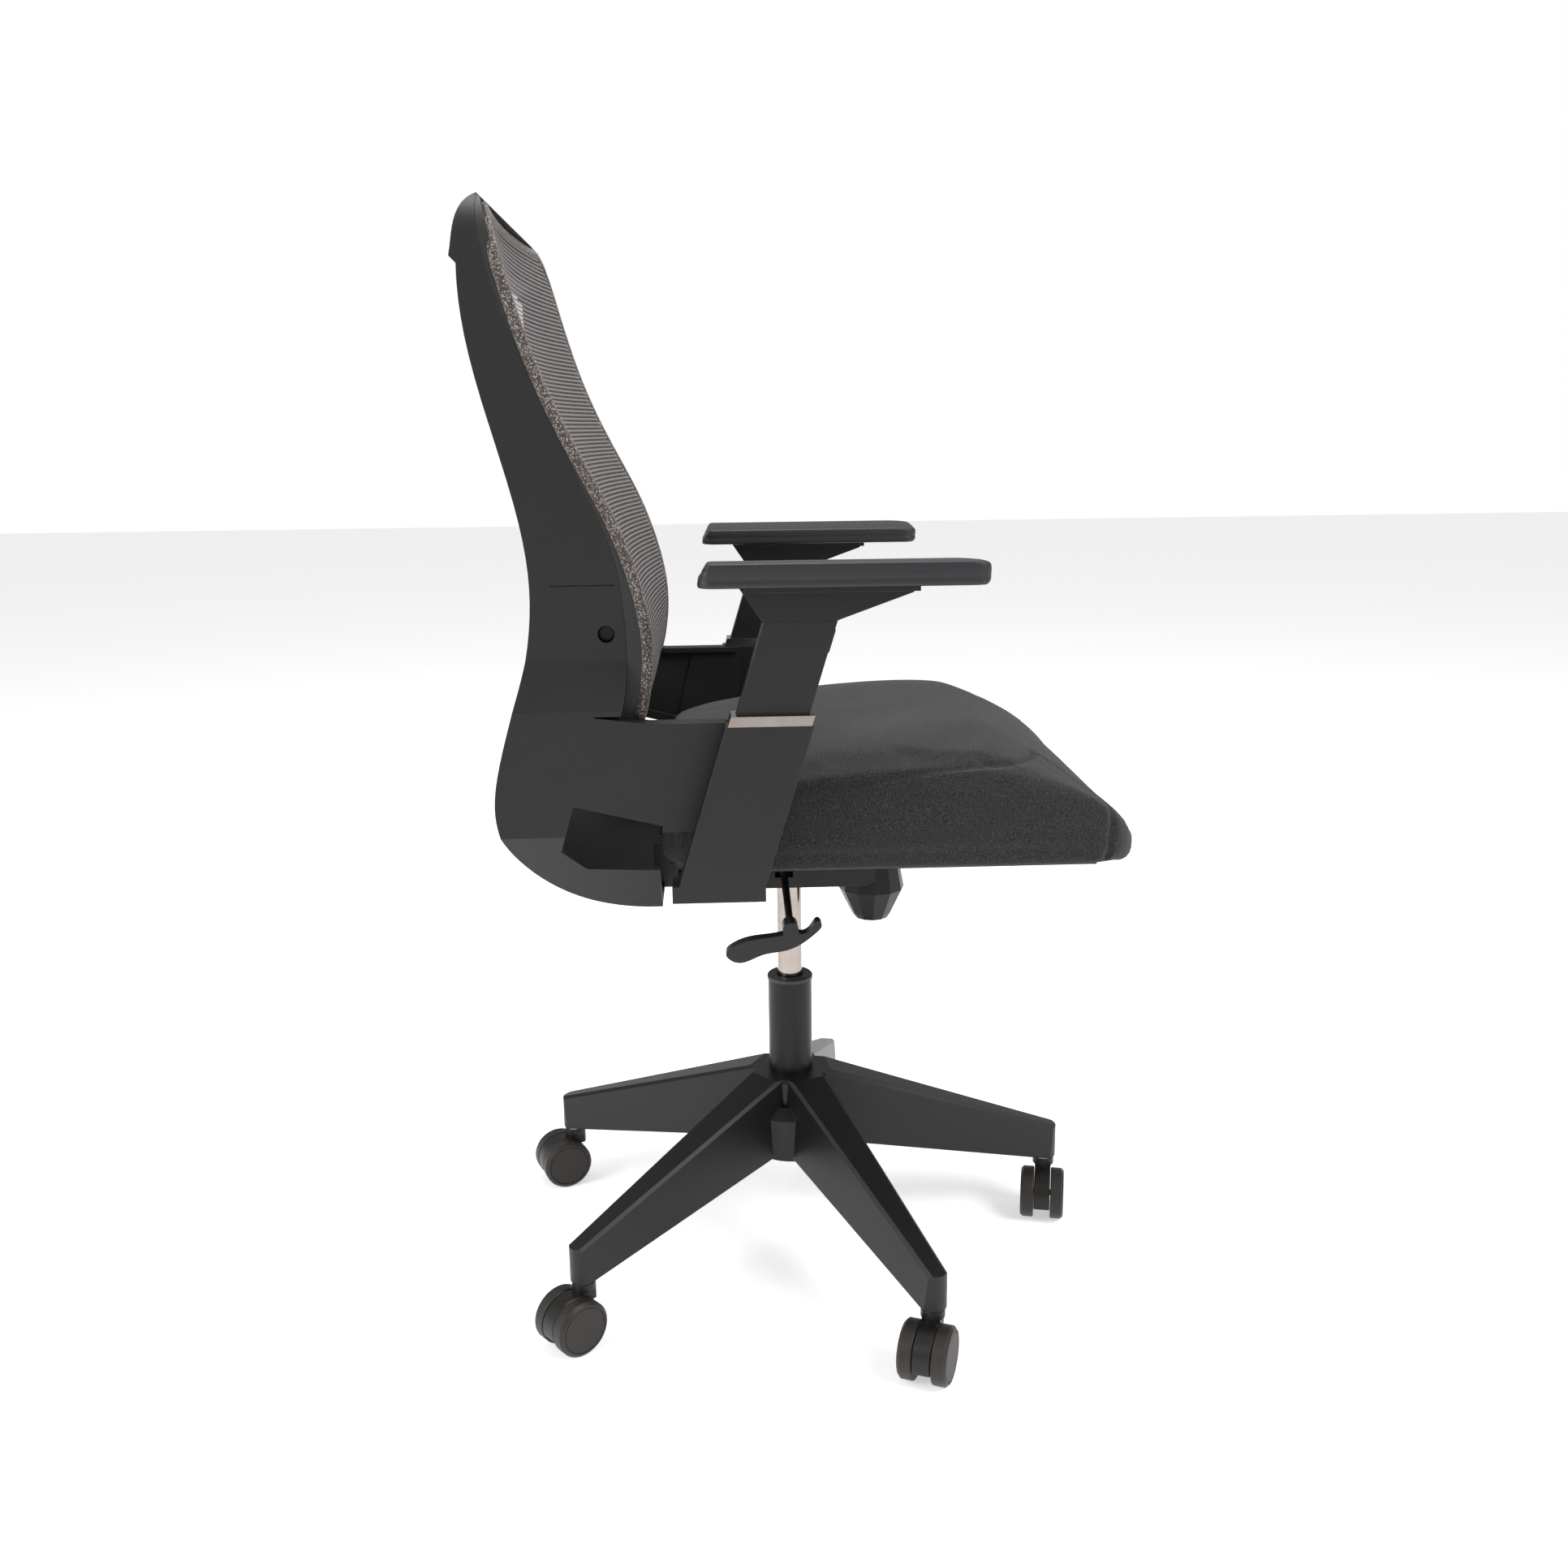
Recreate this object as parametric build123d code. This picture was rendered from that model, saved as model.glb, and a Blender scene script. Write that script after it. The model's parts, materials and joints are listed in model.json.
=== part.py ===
"""Swivel office chair: mesh back, padded seat, height-adjustable arms, five-star base on casters.

Millimetres. The origin is on the floor at the column's axis, +Z is up, the sitter looks along -Y,
and +X is the sitter's left.
"""

from math import atan2, cos, degrees, hypot, radians, sin
import os

from build123d import *

os.makedirs("parts", exist_ok=True)

# ---------------------------------------------------------------- driving dimensions
# casters
wheel_radius = 30.0
wheel_width = 15.5
wheel_gap = 20.0  # between the two wheels of one caster
caster_trail = 18.0  # stem axis to axle
axle_radius = 3.5
stem_radius = 5.5
stem_seat_height = 42.0  # axle to the underside of the leg
caster_headings = (157.0, 167.0, 140.0, 113.0, 129.7)  # where each caster trails, degrees from +X

# five-star base
leg_count = 5
first_leg_angle = 204.5
stem_circle = 310.9
leg_tip_width = 28.0
leg_root_width = 58.0
leg_tip_height = 44.0
leg_root_height = 86.0
leg_wall = 4.0
hub_radius = 44.0
hub_height = 100.0
hub_top_above_tip = 96.0

# gas lift
column_radius = 25.0
column_wall = 2.0
column_above_hub = 110.0
pressure_tube_radius = 14.0
pressure_tube_wall = 2.0
lift_stroke = 100.0
rod_radius = 5.0
collar_height = 5.0

# tilt mechanism
housing_half_width = 58.0
steel = 3.0
mechanism_depth_rear = 60.0
pivot_y = -42.0
pivot_above_floor = 19.0
pivot_radius = 5.0
tension_bolt_y = -94.0
tension_bolt_radius = 4.0
knob_radius = 37.0
plate_rise = 67.0  # housing floor to the underside of the seat

# seat
seat_half_width = 245.0
seat_rear = 138.0
seat_front = -356.0
pan_thickness = 12.0
cushion_height = 114.0

# back
back_height = 631.0  # underside of the seat to the top rail
back_lower_height = 214.5  # the part beside the arms, which keeps its height
back_wall = 8.0
mesh_thickness = 2.6
mesh_hollow = 20.0  # how far the middle of the mesh lies behind its edges
mesh_fit = 0.5
carrier_width = 18.0

# arms
arm_slant = 17.0  # degrees that the arms lean forward
arm_gap = 4.0  # seat side to the sleeve
sleeve_width = 36.0
sleeve_depth = 78.0
sleeve_wall = 6.5
arm_fit = 0.3
upright_length = 180.0
pad_length = 264.5
pad_width = 85.0
pad_thickness = 22.0

slide_fit = 0.05  # radial clearance of a shaft that turns or slides

# ---------------------------------------------------------------- heights that follow
axle_z = wheel_radius
leg_tip_z = axle_z + stem_seat_height
hub_top_z = leg_tip_z + leg_tip_height + hub_top_above_tip
column_top_z = hub_top_z + column_above_hub
collar_top_z = column_top_z + collar_height
housing_z = collar_top_z + lift_stroke + 20.0
seat_z = housing_z + plate_rise
back_top_z = seat_z + back_height

# ---------------------------------------------------------------- widths that follow
back_half_width = seat_half_width - 5.0
arm_x = seat_half_width + arm_gap + sleeve_width / 2

nodes = {}


# ---------------------------------------------------------------- helpers
def side_solid(outline, x_from, x_to):
    """A closed outline in the side view (y, z), drawn out from x_from to x_to."""
    return extrude(Plane.YZ.offset(x_from) * make_face(outline), x_to - x_from)


def polygon(*points):
    """The closed line through the points."""
    return Polyline(*points, close=True)


def block(x_span, y_span, z_span):
    """A box given by its two limits on each axis."""
    size = [high - low for low, high in (x_span, y_span, z_span)]
    middle = [(high + low) / 2 for low, high in (x_span, y_span, z_span)]
    return Pos(*middle) * Box(*size)


def post(radius, z_from, z_to, x=0.0, y=0.0):
    """A round bar standing on z_from."""
    return Pos(x, y, (z_from + z_to) / 2) * Cylinder(radius, z_to - z_from)


def ring(outer, inner, z_from, z_to, x=0.0, y=0.0):
    """A round bar with a bore through it."""
    return post(outer, z_from, z_to, x, y) - post(inner, z_from - 1, z_to + 1, x, y)


def bar_x(radius, x_from, x_to, y, z):
    """A round bar lying along X."""
    return Pos((x_from + x_to) / 2, y, z) * Rot(0, 90, 0) * Cylinder(radius, x_to - x_from)


def bar_y(radius, y_from, y_to, x, z):
    """A round bar lying along Y."""
    return Pos(x, (y_from + y_to) / 2, z) * Rot(90, 0, 0) * Cylinder(radius, y_to - y_from)


def both_sides(solid):
    """The right-hand piece and its mirror image."""
    return {"right": solid, "left": mirror(solid, about=Plane.YZ)}


# ---------------------------------------------------------------- five-star base
def leg_bottom(r):
    """Height of a leg's underside at the radius r."""
    root_bottom = hub_top_z - leg_root_height
    return leg_tip_z + (root_bottom - leg_tip_z) * (stem_circle - r) / (stem_circle - hub_radius)


def leg_top(r):
    """Height of a leg's top face at the radius r."""
    tip_top = leg_tip_z + leg_tip_height
    return tip_top + (hub_top_z - tip_top) * (stem_circle - r) / (stem_circle - hub_radius)


def leg_half_width(r):
    """Half of a leg's width at the radius r."""
    return (leg_tip_width + (leg_root_width - leg_tip_width) * (1 - r / stem_circle)) / 2


def leg_section(r):
    """Cross-section of a leg: a narrow flat top, a shoulder, and sides that spread downwards."""
    half = leg_half_width(r)
    shoulder = 3.5
    draft = 0.16 * half
    top = leg_top(r)
    return Plane.YZ.offset(r) * make_face(
        polygon(
            (-half, leg_bottom(r)),
            (half, leg_bottom(r)),
            (half - draft, top - shoulder),
            (half - draft - shoulder, top),
            (-half + draft + shoulder, top),
            (-half + draft, top - shoulder),
        )
    )


def leg_pockets():
    """The hollows between the cross ribs under one leg."""
    rib = 3.0
    pocket_count = 4
    first, last = hub_radius + 14, stem_circle - leg_tip_width / 2 - 4
    pitch = (last - first) / pocket_count
    pockets = []
    for index in range(pocket_count):
        inner = first + index * pitch
        outer = inner + pitch - rib
        side = polygon(
            (inner, leg_bottom(inner) - 20),
            (outer, leg_bottom(outer) - 20),
            (outer, leg_top(outer) - 2 * leg_wall),
            (inner, leg_top(inner) - 2 * leg_wall),
        )
        slab = extrude(Plane.XZ * make_face(side), leg_root_width, both=True)
        plan = polygon(
            (inner, -leg_half_width(inner) + 1.8 * leg_wall),
            (outer, -leg_half_width(outer) + 1.8 * leg_wall),
            (outer, leg_half_width(outer) - 1.8 * leg_wall),
            (inner, leg_half_width(inner) - 1.8 * leg_wall),
        )
        pockets.append(slab & extrude(make_face(plan), hub_top_z))
    return pockets


def star_leg():
    """One leg along +X, with its rounded tip and the boss for the caster's stem."""
    leg = loft([leg_section(20), leg_section(stem_circle + 40)], ruled=True)
    reach = block((0, stem_circle), (-60, 60), (leg_tip_z, hub_top_z))
    tip = post(leg_tip_width / 2, leg_tip_z, hub_top_z, stem_circle)
    leg = leg & (reach + tip)
    for pocket in leg_pockets():
        leg -= pocket
    return leg


def five_star_base():
    hub = post(hub_radius, hub_top_z - hub_height, hub_top_z)
    hub = chamfer(hub.faces().sort_by(Axis.Z)[-1].edges(), 4)
    web = post(hub_radius + 18, hub_top_z - leg_root_height, hub_top_z - 30)
    web = chamfer(web.faces().sort_by(Axis.Z)[-1].edges(), 12)
    base = hub + web
    for index in range(leg_count):
        base += Rot(0, 0, first_leg_angle + index * 360 / leg_count) * star_leg()
    base -= post(column_radius, hub_top_z - hub_height - 1, hub_top_z + 1)
    for index in range(leg_count):
        turn = Rot(0, 0, first_leg_angle + index * 360 / leg_count)
        base -= turn * post(stem_radius + slide_fit, leg_tip_z - 1, leg_tip_z + 36, stem_circle)
    return base


# ---------------------------------------------------------------- casters
def caster_pieces():
    """One caster: stem axis on Z, wheels trailing towards +X, axle along Y."""
    half_gap = wheel_gap / 2
    hood_half = half_gap - 0.5
    neck_radius = 12.5

    def disc(radius, half_width):
        return bar_y(radius, -half_width, half_width, caster_trail, axle_z)

    hood = disc(wheel_radius - 0.5, hood_half)
    hood -= block((-50, 100), (-50, 50), (-1, 21))
    hood = chamfer(hood.edges().filter_by(GeomType.CIRCLE), 1)
    hood += post(neck_radius, axle_z + 20, leg_tip_z - 2) & block((-50, 50), (-hood_half, hood_half), (0, 99))
    hood += post(neck_radius, axle_z + wheel_radius + 1.5, leg_tip_z - 2)
    stem_foot = axle_z + 20
    hood -= post(stem_radius, stem_foot, leg_tip_z)
    hood -= disc(axle_radius + slide_fit, hood_half + 5)

    stem = post(stem_radius, stem_foot, leg_tip_z + 34)
    stem += ring(neck_radius - 1, stem_radius - 1, leg_tip_z - 2, leg_tip_z)
    stem = chamfer(stem.faces().sort_by(Axis.Z)[-1].edges(), 1)

    outer_face = half_gap + wheel_width
    axle = disc(axle_radius, outer_face - 4)

    wheel = bar_y(wheel_radius, half_gap, outer_face, caster_trail, axle_z)
    rims = wheel.edges().filter_by(GeomType.CIRCLE).sort_by(Axis.Y)
    wheel = chamfer(rims[-1], 3)
    wheel = fillet(wheel.edges().filter_by(GeomType.CIRCLE).sort_by(Axis.Y)[0], 1.5)
    cap_groove = bar_y(wheel_radius - 5, outer_face - 1, outer_face + 1, caster_trail, axle_z)
    cap_groove -= bar_y(wheel_radius - 6, outer_face - 2, outer_face + 2, caster_trail, axle_z)
    wheel -= cap_groove
    wheel -= bar_y(axle_radius, half_gap - 1, outer_face - 4, caster_trail, axle_z)
    return {
        "stem": stem,
        "hood": hood,
        "axle": axle,
        "wheels": Compound(children=[wheel, mirror(wheel, about=Plane.XZ)]),
    }


def place_casters():
    pieces = caster_pieces()
    for index in range(leg_count):
        angle = radians(first_leg_angle + index * 360 / leg_count)
        stand = Pos(stem_circle * cos(angle), stem_circle * sin(angle), 0)
        heading = Rot(0, 0, caster_headings[index])
        for name, piece in pieces.items():
            nodes[f"caster_{index + 1}_{name}"] = stand * heading * piece


# ---------------------------------------------------------------- gas lift
def gas_lift():
    column_floor_z = hub_top_z - hub_height - 2
    bearing_z = column_floor_z + steel
    bearing_top_z = bearing_z + 8
    bore = column_radius - column_wall
    pin_radius = 3.5
    tube_foot_z = bearing_top_z + 3 + lift_stroke
    seal_height = 10.0
    tube_top_z = housing_z + 15
    tube_bore = pressure_tube_radius - pressure_tube_wall
    head_z = tube_foot_z + seal_height + 2

    column = ring(column_radius, bore, column_floor_z, column_top_z)
    column += ring(column_radius, pin_radius + 1, column_floor_z, bearing_z)
    nodes["column_outer_tube"] = column
    bushing_radius = pressure_tube_radius + slide_fit
    nodes["guide_bushing"] = ring(bore, bushing_radius, column_top_z - 84, column_top_z)
    collar = ring(column_radius + 1, bushing_radius + 0.2, column_top_z, collar_top_z)
    nodes["column_collar"] = chamfer(collar.faces().sort_by(Axis.Z)[-1].edges(), 1.5)
    nodes["thrust_bearing"] = ring(15, pin_radius + slide_fit, bearing_z, bearing_top_z)

    rod = post(rod_radius, bearing_top_z, head_z)
    rod += post(pin_radius, column_floor_z - 4, bearing_top_z)
    rod += post(tube_bore - slide_fit, head_z, head_z + 12)
    nodes["piston_rod"] = rod
    nodes["rod_clip"] = ring(8, pin_radius, column_floor_z - 3, column_floor_z)

    tube = ring(pressure_tube_radius, tube_bore, tube_foot_z, tube_top_z - 28)
    tube += ring(pressure_tube_radius, 3 + slide_fit, tube_top_z - 28, tube_top_z)
    nodes["pressure_tube"] = tube
    nodes["rod_seal"] = ring(tube_bore, rod_radius + slide_fit, tube_foot_z, tube_foot_z + seal_height)
    nodes["valve_pin"] = post(3, tube_top_z - 20, tube_top_z + 8)


# ---------------------------------------------------------------- tilt mechanism
def mechanism():
    floor = housing_z
    nose_z = floor + 34
    flange_top = floor + 37
    half = housing_half_width
    inner = half - steel
    front_wall = -56.0
    nose_front = -116.0
    rear = mechanism_depth_rear
    pivot_z = floor + pivot_above_floor
    seat_plate_z = seat_z - steel
    bolt_y = tension_bolt_y

    # fixed housing: a stepped pressing, low around the column and high over the tension knob
    housing = block((-half, half), (front_wall, rear), (floor, floor + steel))
    housing += block((-half, half), (front_wall, front_wall + steel), (floor, flange_top))
    housing += block((-half, half), (nose_front + 24, front_wall), (nose_z, nose_z + steel))
    housing += block((-32, 32), (nose_front, nose_front + 24), (nose_z, nose_z + steel))
    flange = polygon(
        (nose_front + 24, floor + 6),
        (nose_front + 34, floor),
        (rear, floor),
        (rear, floor + 28),
        (rear - 14, flange_top),
        (nose_front + 24, flange_top),
    )
    housing += side_solid(flange, -half, -inner)
    housing += side_solid(flange, inner, half)
    housing += post(22, floor - 8, floor + 15)
    housing -= post(pressure_tube_radius, floor - 10, floor + 20)
    slot = block((-5.5, 5.5), (bolt_y - 5.5, bolt_y + 11), (nose_z - 5, nose_z + 8))
    housing -= slot
    housing -= bar_x(pivot_radius + slide_fit, -half - 1, half + 1, pivot_y, pivot_z)
    lever_window = block((-half - 1, -inner + 1), (-2, 18), (floor + 12, floor + 30))
    housing -= lever_window
    nodes["mechanism_housing"] = housing

    # tilting seat plate with the two cheeks that hang on the pivot
    cheek_gap = 2.0
    cheek_in = half + cheek_gap
    cheek_out = cheek_in + steel
    plate = block((-100, 100), (-128, 100), (seat_plate_z, seat_z))
    cheek = polygon(
        (-78, seat_plate_z),
        (pivot_y - 14, floor + 8),
        (pivot_y + 14, floor + 8),
        (-8, seat_plate_z),
    )
    plate += side_solid(cheek, -cheek_out, -cheek_in)
    plate += side_solid(cheek, cheek_in, cheek_out)
    plate -= bar_x(pivot_radius, -cheek_out - 1, cheek_out + 1, pivot_y, pivot_z)
    plate -= post(tension_bolt_radius, seat_plate_z - 1, seat_z + 1, 0, bolt_y)
    for x in (-78, 78):
        for y in (-96, 78):
            plate -= post(3, seat_plate_z - 1, seat_z + 1, x, y)
    nodes["seat_plate"] = plate
    pin = bar_x(pivot_radius, -cheek_out, cheek_out, pivot_y, pivot_z)
    pin += bar_x(pivot_radius + 3, cheek_out, cheek_out + 3, pivot_y, pivot_z)
    pin += bar_x(pivot_radius + 3, -cheek_out - 3, -cheek_out, pivot_y, pivot_z)
    nodes["pivot_pin"] = pin

    # tension bolt, spring and knob under the nose
    knob_foot = floor - 53
    cup_floor = knob_foot + 20
    knob_rim = floor + 14
    bolt = post(tension_bolt_radius, knob_foot + 2, seat_plate_z, 0, bolt_y)
    bolt += post(8, seat_plate_z - 5, seat_plate_z, 0, bolt_y)
    nodes["tension_bolt"] = bolt
    profile = [(knob_foot, 19), (knob_foot + 6, 23), (knob_foot + 35, knob_radius), (knob_rim, 31)]
    facets = 12
    rings = []
    for height, radius in profile:
        shape = RegularPolygon(radius, facets)
        rings.append(Plane.XY.offset(height) * shape)
    knob = loft(rings, ruled=True)
    knob = Pos(0, bolt_y, 0) * knob
    knob -= post(26, cup_floor, knob_rim + 1, 0, bolt_y)
    knob -= post(tension_bolt_radius + slide_fit, knob_foot - 1, cup_floor + 1, 0, bolt_y)
    nodes["tension_knob"] = knob
    wire = 2.5
    coil_radius = 20.0
    gap = 0.3
    spring_height = nose_z - cup_floor - 2 * (wire + gap)
    path = Helix(spring_height / 6, spring_height, coil_radius)
    start = Plane(origin=path @ 0, z_dir=path % 0)
    spring = sweep(start * Circle(wire), path)
    nodes["tension_spring"] = Pos(0, bolt_y, cup_floor + wire + gap) * spring


def lever():
    """The height lever: pivot carrier in the housing, bent rod and twisted paddle."""
    floor = housing_z
    pivot_x, rod_y, pivot_z = -35.0, 8.0, floor + 21.0
    pin_radius = 2.5
    rod_r = 4.0
    arm_z = floor + 23.9

    carrier = block((-46, -26), (rod_y - 9, rod_y - 6), (floor + steel, pivot_z + 6))
    carrier += block((-46, -26), (rod_y + 6, rod_y + 9), (floor + steel, pivot_z + 6))
    carrier += block((-46, -26), (rod_y - 9, rod_y + 9), (floor + steel, floor + steel + 3))
    carrier += bar_y(pin_radius, rod_y - 9, rod_y + 9, pivot_x, pivot_z)
    nodes["lever_carrier"] = carrier

    outer_x = -206.0
    outer_z = floor + 3.0
    run = hypot(outer_x - pivot_x, outer_z - pivot_z)
    drop = degrees(atan2(pivot_z - outer_z, pivot_x - outer_x))
    rod = Pos(pivot_x, rod_y, pivot_z) * Rot(0, -90 - drop, 0) * Pos(0, 0, run / 2) * Cylinder(rod_r, run)
    rod += bar_y(6, rod_y - 5.5, rod_y + 5.5, pivot_x, pivot_z)
    rod += block((pivot_x, -16), (rod_y - 5.5, rod_y + 5.5), (arm_z, arm_z + 4))
    rod += block((-24, 14), (-4, rod_y - 3), (arm_z, arm_z + 4))
    rod -= bar_y(pin_radius + slide_fit, rod_y - 12, rod_y + 12, pivot_x, pivot_z)
    nodes["lever_rod"] = rod

    paddle = bar_x(8, outer_x - 6, outer_x + 16, rod_y, outer_z)
    blade = Spline(
        (0, -2),
        (30, -8),
        (56, -15),
        (65, -24),
        (57, -32),
        (30, -26),
        (4, -21),
        (-12, -14),
        (-25, -4),
        (-31, 6),
        (-28, 9),
        (-20, 1),
        (-10, -4),
        periodic=True,
    )
    paddle += Pos(outer_x - 5, rod_y, outer_z) * extrude(Plane.YZ * make_face(blade), 14)
    paddle += block((outer_x - 5, outer_x + 9), (rod_y - 5, rod_y + 6), (outer_z - 10, outer_z))
    socket = Pos(pivot_x, rod_y, pivot_z) * Rot(0, -90 - drop, 0) * Pos(0, 0, run / 2) * Cylinder(rod_r, run)
    nodes["lever_paddle"] = paddle - socket


# ---------------------------------------------------------------- seat
def seat_plan(inset):
    """Outline of the seat from above, with a bowed front and rounded corners."""
    half = seat_half_width - inset
    rear = seat_rear - inset
    front = seat_front + inset
    side_front = front + 80
    rear_corner = 70
    line = Polyline((-half, side_front), (-half, rear - rear_corner))
    line += RadiusArc((-half, rear - rear_corner), (-half + rear_corner, rear), rear_corner)
    line += Polyline((-half + rear_corner, rear), (half - rear_corner, rear))
    line += RadiusArc((half - rear_corner, rear), (half, rear - rear_corner), rear_corner)
    line += Polyline((half, rear - rear_corner), (half, side_front))
    line += Bezier((half, side_front), (half, front + 14), (0.78 * half, front), (0, front))
    line += Bezier((0, front), (-0.78 * half, front), (-half, front + 14), (-half, side_front))
    return make_face(line)


def pan_form(inset):
    """The pan's outline, as deep as the seat; a negative inset gives the recess that it sits in."""
    half = seat_half_width - 26 - inset
    limits = block((-half, half), (seat_front + 60 + inset, seat_rear - 10 - inset), (seat_z - 50, seat_z + 50))
    return extrude(Pos(0, 0, seat_z - 50) * seat_plan(10 + inset), 100) & limits


def seat():
    pan_top = seat_z + pan_thickness
    nodes["seat_pan"] = pan_form(0) & level_cut(seat_z, pan_top)

    top = pan_top + cushion_height
    crown = Spline(
        (seat_front + 1, pan_top - 8),
        (seat_front + 28, pan_top + 34),
        (seat_front + 75, pan_top + 78),
        (seat_front + 135, top - 8),
        (seat_front + 230, top),
        (seat_front + 380, top - 14),
        (seat_rear, top - 34),
    )
    rest = Polyline(
        (seat_rear, top - 34),
        (seat_rear, seat_z + 1),
        (seat_front + 45, seat_z + 1),
        (seat_front + 22, seat_z - 2),
        (seat_front + 1, pan_top - 8),
    )
    cushion = side_solid(crown + rest, -seat_half_width, seat_half_width)
    cushion &= extrude(Pos(0, 0, seat_z - 40) * seat_plan(0), cushion_height + 100)
    cushion -= pan_form(-0.3) & level_cut(seat_z, pan_top)
    nodes["seat_cushion"] = cushion

    screws = Compound(
        children=[
            post(3, seat_z - steel, seat_z, x, y) + post(6, seat_z - steel - 4, seat_z - steel, x, y)
            for x in (-78, 78)
            for y in (-96, 78)
        ]
    )
    nodes["seat_plate_screws"] = screws


# ---------------------------------------------------------------- back
def up(share):
    """Height of a point on the back, as a share of the back's height above the seat's underside."""
    lower_share = 0.34
    if share <= lower_share:
        return seat_z + back_lower_height * share / lower_share
    upper_height = back_height - back_lower_height
    return seat_z + back_lower_height + upper_height * (share - lower_share) / (1 - lower_share)


def rear_line():
    """Rear edge of the back in the side view, from the top lip down to the foot under the seat."""
    lip = Spline((281, up(0.999)), (291, up(0.984)), (298, up(0.955)), (303, up(0.91)))
    lip += Line((303, up(0.91)), (297, up(0.9)))
    lip += Line((297, up(0.9)), (297, up(0.897)))
    spine = Spline(
        (297, up(0.897)),
        (288, up(0.76)),
        (262, up(0.6)),
        (247, up(0.45)),
        (254, up(0.34)),
        (280, up(0.19)),
        (286, up(0.11)),
        (264, up(0.02)),
        (215, up(-0.05)),
        (165, up(-0.074)),
        (136, up(-0.076)),
    )
    return lip, spine


def wing_line(shift=0.0):
    """Front edge of the wings, which the mesh carrier lies against."""
    return Spline(
        (280 + shift, up(0.998)),
        (262 + shift, up(0.842)),
        (229 + shift, up(0.718)),
        (196 + shift, up(0.593)),
        (171 + shift, up(0.499)),
        (162 + shift, up(0.42)),
        (160 + shift, up(0.33)),
        (166 + shift, up(0.26)),
        (170 + shift, up(0.243)),
    )


def mesh_line(shift=0.0):
    """Front face of the mesh, between the top rail and the bottom rail."""
    return Spline(
        (273 + shift, up(0.992)),
        (255 + shift, up(0.883)),
        (229 + shift, up(0.751)),
        (196 + shift, up(0.636)),
        (167 + shift, up(0.545)),
        (146 + shift, up(0.452)),
        (137 + shift, up(0.379)),
        (138 + shift, up(0.306)),
        (147 + shift, up(0.245)),
    )


def back_mask(inset=0.0):
    """Front view of the back: rounded top corners, wings, wider arm bars, and a foot that tapers in."""
    half = back_half_width - inset
    bar_half = arm_x - 5 - inset
    foot_half = 165 - inset
    corner = 55
    top = back_top_z + 5 - inset
    line = Polyline(
        (-half, top - corner),
        (-half, up(0.34)),
        (-bar_half, up(0.27)),
        (-bar_half, up(0.08)),
        (-foot_half, up(-0.09)),
        (foot_half, up(-0.09)),
        (bar_half, up(0.08)),
        (bar_half, up(0.27)),
        (half, up(0.34)),
        (half, top - corner),
    )
    line += RadiusArc((half, top - corner), (half - corner, top), -corner)
    line += Line((half - corner, top), (-half + corner, top))
    line += RadiusArc((-half + corner, top), (-half, top - corner), -corner)
    return extrude(Plane.XZ * make_face(line), 500, both=True)


def arm_frame(side=-1):
    """Place on the arm's sloping centre line, half-way up the sleeve."""
    return Pos(side * arm_x, 51.5, seat_z + 81) * Rot(arm_slant, 0, 0)


def sleeve_block(shrink=0.0):
    """The sleeve's outer box on the sloping line, before its ends are cut level."""
    return arm_frame() * Box(sleeve_width - 2 * shrink, sleeve_depth - 2 * shrink, 420)


def level_cut(z_from, z_to):
    """A slab between two heights, wide enough for either arm."""
    return block((-400, 400), (-300, 400), (z_from, z_to))


def mesh_stations():
    """Steps down the mesh: its front edge in the side view, and how far it is hollow there."""
    front = mesh_line()
    steps = 16
    for index in range(steps + 1):
        share = index / steps
        y, z = (front @ share).X, (front @ share).Y
        fade = min(max((0.95 - share) / 0.35, 0.0), 1.0)
        top_fade = 0.4 + 0.6 * min(share / 0.2, 1.0)
        yield y, z, max(mesh_hollow * top_fade * sin(radians(90 * fade)), 0.1)


def hollow_cut():
    """The space that the hollow mesh takes out of the rails behind its edges."""
    edge = back_half_width - carrier_width - 5
    sections = []
    for y, z, depth in mesh_stations():
        rear = mesh_thickness + mesh_fit
        far = ThreePointArc((-edge, rear), (0, depth + rear), (edge, rear))
        front = Polyline((edge, rear), (edge, -60), (-edge, -60), (-edge, rear))
        sections.append(Pos(0, y, z) * make_face(far + front))
    return loft(sections)


def mesh_sheet(half):
    """The stretched mesh: it lies on the carrier at its edges and is hollow across the middle."""
    edge = back_half_width - carrier_width - 5
    sections = []
    for y, z, depth in mesh_stations():
        near = ThreePointArc((edge, 0), (0, depth), (-edge, 0))
        far = ThreePointArc((-edge, mesh_thickness), (0, depth + mesh_thickness), (edge, mesh_thickness))
        left = Polyline((-edge, 0), (-half, 0), (-half, mesh_thickness), (-edge, mesh_thickness))
        right = Polyline((edge, mesh_thickness), (half, mesh_thickness), (half, 0), (edge, 0))
        sections.append(Pos(0, y, z) * make_face(near + left + far + right))
    return loft(sections)


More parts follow.
